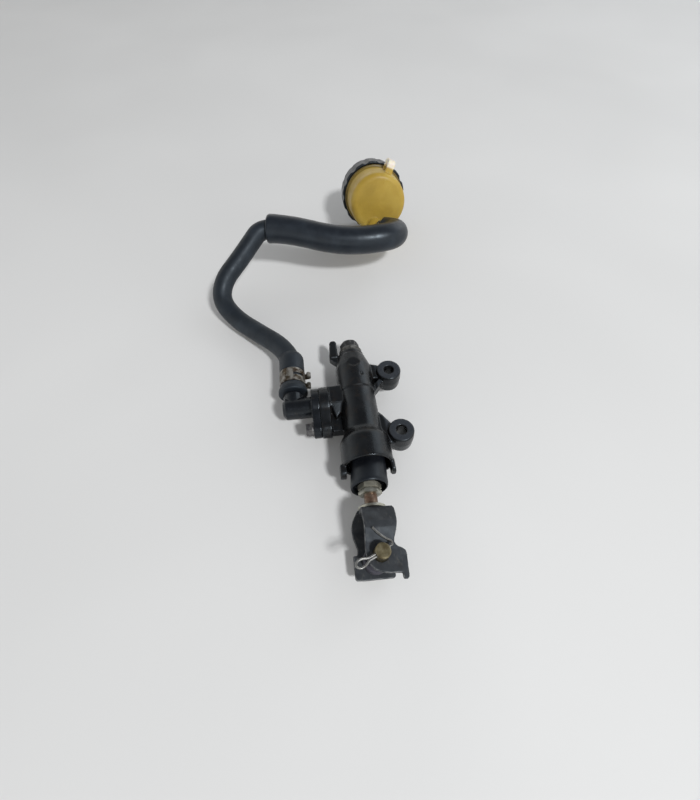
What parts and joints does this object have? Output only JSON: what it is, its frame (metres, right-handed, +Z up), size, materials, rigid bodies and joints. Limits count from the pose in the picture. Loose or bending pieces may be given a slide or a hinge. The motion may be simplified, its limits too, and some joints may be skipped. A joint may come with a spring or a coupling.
{
  "type": "brake master cylinder",
  "caption": "Hydraulic brake master cylinder with push rod and clevis, elbow inlet, feed hose and round remote fluid reservoir with a screw cap.",
  "frame": {"origin": "midway between the two mounting bosses, on the plane of their top faces", "axes": "+Y along the bore towards the outlet, +Z up, square to the bosses' top faces, +X from the bore towards the bosses"},
  "size_m": [0.174, 0.3568, 0.0688],
  "materials": {
    "cast_black": "satin, worn, aged",
    "washer_pale": "satin",
    "bolt_grey": "dull, dark phosphate",
    "inner_alloy": "machined",
    "seal_rubber": "matte",
    "bright_steel": "satin",
    "boot_rubber": "matte",
    "rod_steel": "dull, lightly rusted",
    "zinc_nut": "bright zinc plate",
    "zinc_pin": "yellow zinc plate, worn",
    "clevis_grey": "satin, worn edges",
    "bush_plastic": "dull",
    "elbow_plastic": "satin",
    "screw_dark": "dark, dull",
    "hose_rubber": "satin",
    "sleeve_rubber": "satin",
    "clamp_steel": "phosphated, stained",
    "reservoir_plastic": "translucent, stained yellow by the fluid",
    "plate_plastic": "plain",
    "cap_plastic": "satin"
  },
  "bodies": {
    "housing": {"cylinder_body": "cast_black", "crush_washers": "washer_pale", "banjo_bolt": "bolt_grey", "stop_washer": "bright_steel", "circlip": "bright_steel", "rubber_boot": "boot_rubber", "return_spring": "bright_steel", "port_elbow": "elbow_plastic", "elbow_seal": "seal_rubber", "elbow_screw": "screw_dark", "hose": "hose_rubber", "hose_sleeve": "sleeve_rubber", "hose_clamp": "clamp_steel", "upper_clamp": "clamp_steel", "reservoir_body": "reservoir_plastic", "reservoir_diaphragm": "seal_rubber"},
    "piston_group": {"piston": "inner_alloy", "primary_cup": "seal_rubber", "secondary_cup": "seal_rubber", "spring_seat": "bright_steel"},
    "rod_group": {"push_rod": "rod_steel", "lock_nut": "zinc_nut"},
    "thread_nut": {"clevis_nut": "zinc_nut"},
    "clevis": {"clevis_bracket": "clevis_grey"},
    "pin_group": {"clevis_pin": "zinc_pin", "cotter_pin": "bright_steel", "pedal_bush": "bush_plastic"},
    "plate": {"diaphragm_plate": "plate_plastic"},
    "cap": {"reservoir_cap": "cap_plastic"}
  },
  "joints": [
    {"name": "piston_slide", "type": "slide", "parent": "housing", "child": "piston_group", "axis": [0, 1, 0], "range_m": [0, 0.01], "stiffness_N_per_m": 1500, "springref_m": -0.008, "deforming": ["return_spring", "rubber_boot"]},
    {"name": "rod_tilt", "type": "hinge", "parent": "piston_group", "child": "rod_group", "pos_m": [-0.024, -0.0205, -0.007], "axis": [1, 0, 0], "range_deg": [-3, 3]},
    {"name": "clevis_travel", "type": "slide", "parent": "rod_group", "child": "thread_nut", "axis": [0.0349, 0.9994, 0], "range_m": [-0.0026, 0.0026]},
    {"name": "clevis_turn", "type": "hinge", "parent": "thread_nut", "child": "clevis", "pos_m": [-0.024, -0.0205, -0.007], "axis": [0.0349, 0.9994, 0], "range_deg": [-720, 720]},
    {"name": "pin_turn", "type": "hinge", "parent": "clevis", "child": "pin_group", "pos_m": [-0.0267, -0.09795, -0.007], "axis": [0.1218, -0.0043, 0.9925], "continuous": true},
    {"name": "cap_lift", "type": "slide", "parent": "housing", "child": "plate", "axis": [0, 0.9511, -0.309], "range_m": [0, 0.0136]},
    {"name": "cap_turn", "type": "hinge", "parent": "plate", "child": "cap", "pos_m": [0.0185, 0.2375, 0.0031], "axis": [0, 0.9511, -0.309], "range_deg": [0, 810]}
  ],
  "couplings": [
    {"joint": "cap_lift", "follows": "cap_turn", "m_per_rad": 0.00095493},
    {"joint": "clevis_travel", "follows": "clevis_turn", "m_per_rad": 0.00019894}
  ]
}
